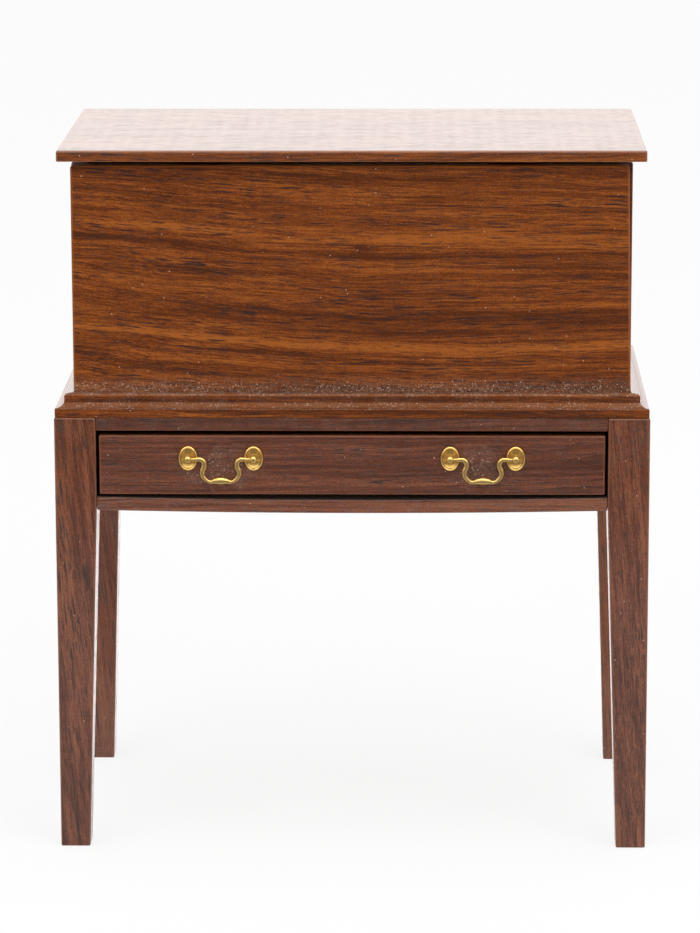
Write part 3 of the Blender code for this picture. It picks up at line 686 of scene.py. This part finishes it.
class CELLARETTE_OT_box(bpy.types.Operator):
    """Finish the box's boards and its lid in walnut"""

    bl_idname = "cellarette.box"
    bl_label = "Finish the box"

    FRONT_SLOPE = 0.045
    LID_RELIEF = 0.35
    # Light and dark bands of the front board: height, half width, lightness
    FRONT_FIGURE = (
        (52.5, 0.7, 0.40),
        (63.6, 0.8, 0.12),
        (66.6, 0.5, -0.22),
        (61.9, 0.5, -0.25),
        (60.0, 2.5, -0.06),
        (55.8, 1.2, -0.14),
    )

    def execute(self, context):
        wood = settings().box
        grain = {"dust": dust_at_foot, "slope": self.FRONT_SLOPE, "figure": self.FRONT_FIGURE}
        paint(walnut("walnut_front", wood, "X", (3.0, 11.0, 0.0), **grain), "case_front")
        paint(walnut("walnut_back", wood, "X", (147.0, 3.0, 5.0), dust_at_foot), "case_back")
        sides = walnut("walnut_sides", wood, "Y", (5.0, 71.0, 9.0), dust_at_foot)
        paint(sides, "case_left", "case_right")
        gloss = {"relief": self.LID_RELIEF, "polish": (wood.lid_sheen, wood.lid_roughness)}
        lid = walnut("walnut_lid", wood, "X", (91.0, 29.0, 17.0), dust_and_sheen_on_edges, **gloss)
        paint(lid, "lid_board")
        return {"FINISHED"}


class CELLARETTE_OT_stand(bpy.types.Operator):
    """Finish the legs, rails and aprons in the darker walnut, and the moulding in the box's walnut"""

    bl_idname = "cellarette.stand"
    bl_label = "Finish the stand"

    SIDE_MOULDING_RELIEF = 0.3
    # Light and dark bands: place across the grain, half width, lightness
    LEFT_LEG_FIGURE = ((-22.5, 4.5, -0.12),)
    REAR_LEG_FIGURE = ((-22.0, 6.0, 0.12), (34.0, 6.0, 0.15))
    # Painted shade: a dark band along the top of the upper rail, where the moulding above shades it
    UPPER_RAIL_SHADE = ((STAND_TOP_MM - 1.0, 3.0, -0.12),)
    LOWER_RAIL_FIGURE = ((STAND_TOP_MM - 8.8, 3.0, 0.12),)
    MOULDING_FIGURE = ((STAND_TOP_MM + 0.4, 0.9, -0.24), (STAND_TOP_MM + 2.0, 0.9, -0.16))

    def execute(self, context):
        wood = settings().stand
        polish = (wood.leg_sheen, wood.leg_roughness)
        self.legs(wood, polish)
        self.rails(wood, polish)
        self.moulding(settings().box, polish)
        return {"FINISHED"}

    def legs(self, wood, polish):
        """Three planks: a bold one for the left leg, a calm one for the right, one for the rear legs."""
        leg = {"dust": dust_under_moulding, "slope": wood.leg_slope, "polish": polish}
        bold = {**leg, "fineness": wood.leg_fineness, "contrast": wood.leg_contrast}
        shift = (9.0, 31.0, 4.0)
        left = walnut("walnut_left_leg", wood, "Z", shift, figure=self.LEFT_LEG_FIGURE, **bold)
        paint(left, "leg_front_left")
        right = walnut("walnut_right_leg", wood, "Z", shift, **leg)
        paint(right, "leg_front_right")
        shift = (27.0, 11.0, 44.0)
        rear = walnut("walnut_rear_legs", wood, "Z", shift, figure=self.REAR_LEG_FIGURE, **bold)
        paint(rear, "leg_rear_left", "leg_rear_right")

    def rails(self, wood, polish):
        dusty = {"dust": dust_under_moulding, "figure": self.UPPER_RAIL_SHADE, "painted_top_shade": wood.painted_top_shade}
        upper = walnut("walnut_rails", wood, "X", (13.0, 7.0, 5.0), **dusty)
        paint(upper, "rail_upper", "apron_back")
        glossy = {"figure": self.LOWER_RAIL_FIGURE, "painted_top_shade": wood.painted_top_shade, "polish": polish}
        lower = walnut("walnut_lower_rail", wood, "X", (43.0, 3.0, 15.0), **glossy)
        paint(lower, "rail_lower")
        aprons = walnut("walnut_aprons", wood, "Y", (17.0, 23.0, 2.0))
        paint(aprons, "apron_left", "apron_right")

    def moulding(self, wood, polish):
        dusty = {"dust": dust_on_ledges, "figure": self.MOULDING_FIGURE}
        across = walnut("walnut_moulding", wood, "X", (61.0, 19.0, 8.0), **dusty)
        paint(across, "moulding_front", "moulding_back")
        glossy = {"relief": self.SIDE_MOULDING_RELIEF, "polish": polish}
        sides = walnut("walnut_side_moulding", wood, "Y", (67.0, 5.0, 9.0), **glossy)
        paint(sides, "moulding_left", "moulding_right")


class CELLARETTE_OT_drawer(bpy.types.Operator):
    """Finish the drawer front in walnut, and its inside, the runners and the dividers in plain wood"""

    bl_idname = "cellarette.drawer"
    bl_label = "Finish the drawer and the insides"

    # A dark band along the front: height, half width, lightness
    FRONT_FIGURE = ((PULL_Z_MM - 0.4, 9.0, -0.08),)

    def execute(self, context):
        dusty = {"dust": dust_round_pulls, "figure": self.FRONT_FIGURE}
        front = walnut("walnut_drawer", settings().stand, "X", (37.0, 41.0, 3.0), **dusty)
        paint(front, "drawer_front")
        plain = settings().inside
        across = walnut("plain_across", plain, "X", (2.0, 3.0, 5.0))
        paint(across, "drawer_back", "drawer_bottom", "case_bottom", "divider_long_1", "divider_long_2")
        along = walnut("plain_along", plain, "Y", (11.0, 13.0, 7.0))
        paint(along, *(f"divider_cross_{number}" for number in range(1, 5)))
        for side in SIDES:
            paint(along, "drawer_" + side, "runner_" + side, "kicker_" + side)
        return {"FINISHED"}


class CELLARETTE_OT_hinges(bpy.types.Operator):
    """Finish the lid's two butt hinges in brass"""

    bl_idname = "cellarette.hinges"
    bl_label = "Finish the hinges"

    def execute(self, context):
        finish = brass("brass_hinges", settings().pulls)
        paint(finish, *(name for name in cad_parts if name.startswith("hinge_")))
        return {"FINISHED"}


class CELLARETTE_OT_rosettes(bpy.types.Operator):
    """Make the four oval, dished rosettes of the pulls"""

    bl_idname = "cellarette.rosettes"
    bl_label = "Make the rosettes"

    FIELD_STEPS = 12
    BEAD_STEPS = 12

    def execute(self, context):
        pulls = settings().pulls
        finish = brass("brass_rosettes", pulls, tarnish_and_shade_in_rosettes)
        profile = self.profile(pulls)
        for pull, post in PULL_POSTS:
            node = f"pull_{pull}_rosette_{post}"
            bm = turned(profile, True, pulls.steps)
            bmesh.ops.scale(bm, verts=bm.verts[:], vec=(ROSETTE_SPAN.x / ROSETTE_SPAN.z, 1, 1))
            place = (middle_of(node).x, DRAWER_FACE, middle_of(node).z)
            bmesh.ops.translate(bm, verts=bm.verts[:], vec=place)
            add_piece("rosette_" + pull + "_" + post, bm, finish, "drawer", "brass", node)
        return {"FINISHED"}

    def profile(self, pulls):
        """From the hole for the post over the dished field and the bead to the back."""
        edge = ROSETTE_SPAN.z / 2
        hole = pulls.neck + ROSETTE_GAP
        seat = pulls.collar + ROSETTE_GAP
        brim = edge - 2 * pulls.rim
        bead = (edge - pulls.rim, pulls.field + pulls.rim / 2)
        rises = [step / self.FIELD_STEPS for step in range(self.FIELD_STEPS + 1)]
        return [
            (hole, ROSETTE_GAP),
            (hole, pulls.field),
            *((seat + (brim - seat) * rise, pulls.field + pulls.dish * rise**2) for rise in rises),
            *arc(bead, pulls.rim, 180, 0, self.BEAD_STEPS),
            (edge, ROSETTE_GAP),
        ]


class CELLARETTE_OT_posts(bpy.types.Operator):
    """Make the four posts: a round knob on a neck, bored across for the bail"""

    bl_idname = "cellarette.posts"
    bl_label = "Make the posts"

    KNOB_STEPS = 16
    EYE_STEPS = 24

    def execute(self, context):
        pulls = settings().pulls
        finish = brass("brass_posts", pulls, dark_reflection_on_front)
        profile = self.profile(pulls)
        for pull, post in PULL_POSTS:
            node = f"pull_{pull}_post_{post}"
            bm = turned(profile, False, pulls.steps)
            place = Vector((middle_of(node).x, DRAWER_FACE, middle_of(node).z))
            bmesh.ops.translate(bm, verts=bm.verts[:], vec=place)
            piece = add_piece("post_" + pull + "_" + post, bm, finish, "drawer", "brass", node)
            self.bore(piece, place - Vector((0, PIVOT_OUT, 0)), pulls.wire_end + pulls.play)
        return {"FINISHED"}

    def profile(self, pulls):
        """From the knob's front over the collar to the end of the shank in the drawer front."""
        seat = pulls.field + 2 * ROSETTE_GAP
        shank_end = DRAWER_FACE - POST_BOX[1].y
        neck = math.degrees(math.asin(pulls.neck / KNOB_RADIUS))
        return [
            *arc((0, PIVOT_OUT), KNOB_RADIUS, 90, neck - 90, self.KNOB_STEPS),
            (pulls.collar, seat + pulls.collar_height),
            (pulls.collar, seat),
            (pulls.neck, seat),
            (pulls.neck, shank_end),
            (0, shank_end),
        ]

    def bore(self, piece, eye, radius):
        """Cuts the eye that the bail's end turns in."""
        bm = bmesh.new()
        bmesh.ops.create_cone(
            bm,
            cap_ends=True,
            segments=self.EYE_STEPS,
            radius1=radius,
            radius2=radius,
            depth=4 * KNOB_RADIUS,
            matrix=Matrix.Translation(eye) @ Matrix.Rotation(math.radians(90), 4, "Y"),
        )
        cutter = new_object("eye", new_mesh("eye", bm))
        cut = piece.modifiers.new("eye", "BOOLEAN")
        cut.operation = "DIFFERENCE"
        cut.solver = "EXACT"
        cut.object = cutter
        whole = piece.data
        piece.data = evaluated_mesh(piece)
        piece.modifiers.clear()
        piece.data.set_sharp_from_angle(angle=SHARP_ANGLE)
        bpy.data.objects.remove(cutter, do_unlink=True)
        bpy.data.meshes.remove(whole)


class CELLARETTE_OT_bails(bpy.types.Operator):
    """Make the two swan-neck bails"""

    bl_idname = "cellarette.bails"
    bl_label = "Make the bails"

    # From a post to the grip's shoulder: distance from the post, drop below the pivot, thickness
    NECK = (
        (0.00082, 0.00000, 0.84),
        (0.00145, 0.00008, 0.96),
        (0.00166, 0.00052, 1.00),
        (0.00143, 0.00143, 0.96),
        (0.00166, 0.00195, 0.84),
        (0.00222, 0.00231, 0.72),
        (0.00272, 0.00222, 1.13),
    )

    def execute(self, context):
        pulls = settings().pulls
        finish = brass("brass_bails", pulls, dark_reflection_on_front)
        for side in SIDES:
            name = "bail_" + side
            centre = Vector((middle_of(name).x, DRAWER_FACE - PIVOT_OUT, PULL_Z))
            bm = self.swept(self.route(pulls), centre, pulls)
            add_piece("swan_neck_" + side, bm, finish, name, "brass", name)
        return {"FINISHED"}

    def route(self, pulls):
        """Points (sideways, upwards, radius) of the wire, from end to end."""
        post = PULL_BORING / 2
        half = [
            (post + pulls.wire_end_reach, 0, pulls.wire_end),
            (post - KNOB_RADIUS - pulls.wire_end_reach, 0, pulls.wire_end),
            *((post - inward, -drop, pulls.wire * part) for inward, drop, part in self.NECK),
        ]
        grip = (0, -pulls.drop, pulls.grip)
        return [*half, grip, *((-x, z, radius) for x, z, radius in reversed(half))]

    def swept(self, route, centre, pulls):
        """Sweeps the wire along its route as a smooth curve."""
        data = bpy.data.curves.new("bail_route", "CURVE")
        data.dimensions = "3D"
        data.bevel_depth = pulls.wire
        data.bevel_resolution = 5
        data.resolution_u = 12
        data.use_fill_caps = True
        spline = data.splines.new("BEZIER")
        spline.radius_interpolation = "CARDINAL"
        spline.bezier_points.add(len(route) - 1)
        straight_ends = (0, 1, len(route) - 2, len(route) - 1)
        for number, (point, (x, z, radius)) in enumerate(zip(spline.bezier_points, route)):
            point.co = centre + Vector((x, 0, z))
            point.radius = radius / pulls.wire
            handle = "VECTOR" if number in straight_ends else "AUTO"
            point.handle_left_type = handle
            point.handle_right_type = handle
        curve = new_object("bail_route", data)
        skin = evaluated_mesh(curve)
        bm = bmesh.new()
        bm.from_mesh(skin)
        bmesh.ops.remove_doubles(bm, verts=bm.verts[:], dist=MERGE_DISTANCE)
        bpy.data.objects.remove(curve, do_unlink=True)
        bpy.data.meshes.remove(skin)
        return bm


class CELLARETTE_OT_studio(bpy.types.Operator):
    """Set up the floor, the white surroundings, the soft lamps and the camera"""

    bl_idname = "cellarette.studio"
    bl_label = "Set up the studio"

    # Name, place, size and power of each soft lamp, and the place that all of them point at
    LAMPS = (
        ("softbox_right", (0.40, -0.58, 0.52), 0.50, 2.05),
        ("softbox_left", (-0.46, -0.58, 0.46), 0.50, 1.75),
        ("softbox_top", (0.04, -0.10, 0.80), 0.60, 3.1),
    )
    LAMP_AIM = (0, 0, 0.04)

    # The floor: its reach, the share of it that shows no shadow, and its glow behind the piece
    FLOOR_REACH = 6.0
    FLOOR_GLOW = 0.86
    FLOOR_SHINE = 1.6
    PURE_WHITE = (1.0, 1.0, 1.0)

    # Brightness of the room in reflections: all of it, the back wall and its upper part, the ceiling
    # in front and what is high up
    ROOM = 0.10
    BACK_WALL = 1.12
    HIGH_WALL = 0.90
    CEILING = 1.20
    ZENITH = 0.45

    def execute(self, context):
        studio = settings().studio
        self.floor(studio)
        self.surroundings(studio)
        for name, place, size, power in self.LAMPS:
            self.lamp(name, place, size, power * studio.lamps)
        self.camera(studio)
        context.scene.view_settings.view_transform = "Standard"
        return {"FINISHED"}

    def floor(self, studio):
        """A white floor that keeps a soft shadow, and that ends a little way in front for reflections."""
        bm = bmesh.new()
        bmesh.ops.create_grid(bm, x_segments=1, y_segments=1, size=self.FLOOR_REACH)
        data = new_mesh("floor", bm)
        material, tree = new_material("white_floor")
        camera, glossy, through = tree.rays()
        _, backward, _ = tree.parts(tree.node("ShaderNodeTexCoord", {}, {}, "Object"))
        near = backward.rising(-0.20, -0.07)
        behind = backward.rising(-0.02, 0.05)
        far = backward.rising(0.05, 0.90)
        tint = tree.mix(glossy * (1 - near), studio.white, studio.dark_floor)
        matt = tree.node("ShaderNodeBsdfDiffuse", {}, {"Color": tint})
        white = tree.mix(far, studio.floor, self.PURE_WHITE)
        shine = tuple(self.FLOOR_SHINE * part for part in studio.warmth)
        bright = tree.mix(glossy * behind, white, shine)
        glow = tree.node("ShaderNodeEmission", {}, {"Color": bright})
        seen = camera.larger(through).larger(glossy * near) * self.FLOOR_GLOW
        surface = tree.node("ShaderNodeMixShader", {}, {0: seen, 1: matt, 2: glow})
        tree.node("ShaderNodeOutputMaterial", {}, {"Surface": surface})
        data.materials.append(material)
        new_object("floor", data)

    def surroundings(self, studio):
        """White behind the piece, and a dimmer room in front of it for reflections."""
        world = bpy.data.worlds.new("white_room")
        world.use_nodes = True
        tree = Tree(world.node_tree)
        camera, glossy, through = tree.rays()
        _, backward, upward = tree.parts(tree.node("ShaderNodeTexCoord", {}, {}, "Generated"))
        behind = backward.rising(-0.25, 0.55)
        back_wall = self.BACK_WALL + upward.rising(0.05, 0.22) * self.HIGH_WALL
        ceiling = upward.rising(0.02, 0.26) * self.CEILING
        zenith = upward.rising(0.05, 0.45) * self.ZENITH
        room = self.ROOM + behind * back_wall + (1 - behind) * ceiling + zenith
        seen = camera.larger(through)
        other = 1 - seen.larger(glossy)
        strength = seen + glossy * room + other * studio.sky
        tint = tree.mix(glossy, studio.white, studio.warmth)
        light = tree.node("ShaderNodeBackground", {}, {"Color": tint, "Strength": strength})
        tree.node("ShaderNodeOutputWorld", {}, {"Surface": light})
        bpy.context.scene.world = world

    def lamp(self, name, place, size, power):
        data = bpy.data.lights.new(name, "AREA")
        data.shape = "SQUARE"
        data.size = size
        data.energy = power
        lamp = new_object(name, data)
        aim = Vector(self.LAMP_AIM) - Vector(place)
        lamp.location = place
        lamp.rotation_euler = aim.to_track_quat("-Z", "Y").to_euler()
        lamp.visible_camera = False

    def camera(self, studio):
        data = bpy.data.cameras.new("camera")
        data.sensor_width = 36.0
        data.lens = studio.lens
        data.clip_start = 0.01
        camera = new_object("camera", data)
        pan = Matrix.Rotation(-studio.pan, 4, "Z")
        tilt = Matrix.Rotation(math.radians(90) - studio.tilt, 4, "X")
        roll = Matrix.Rotation(studio.roll, 4, "Z")
        camera.matrix_world = Matrix.Translation(studio.place) @ pan @ tilt @ roll
        bpy.context.scene.camera = camera


OPERATORS = (
    CELLARETTE_OT_box,
    CELLARETTE_OT_stand,
    CELLARETTE_OT_drawer,
    CELLARETTE_OT_hinges,
    CELLARETTE_OT_rosettes,
    CELLARETTE_OT_posts,
    CELLARETTE_OT_bails,
    CELLARETTE_OT_studio,
)


class CELLARETTE_PT_panel(bpy.types.Panel):
    """Lists the steps of the finish"""

    bl_label = "Cellarette"
    bl_idname = "CELLARETTE_PT_panel"
    bl_space_type = "VIEW_3D"
    bl_region_type = "UI"
    bl_category = "Cellarette"

    def draw(self, context):
        for operator in OPERATORS:
            self.layout.operator(operator.bl_idname)


GROUPS = (BoxWood, StandWood, InsideWood, PullBrass, Studio, Settings)


def register():
    for cls in (*GROUPS, *OPERATORS, CELLARETTE_PT_panel):
        bpy.utils.register_class(cls)
    bpy.types.Scene.cellarette = PointerProperty(type=Settings)


def unregister():
    del bpy.types.Scene.cellarette
    for cls in reversed((*GROUPS, *OPERATORS, CELLARETTE_PT_panel)):
        bpy.utils.unregister_class(cls)


def main():
    register()
    bpy.ops.cellarette.box()
    bpy.ops.cellarette.stand()
    bpy.ops.cellarette.drawer()
    bpy.ops.cellarette.hinges()
    bpy.ops.cellarette.rosettes()
    bpy.ops.cellarette.posts()
    bpy.ops.cellarette.bails()
    bpy.ops.cellarette.studio()


if __name__ == "__main__":
    main()
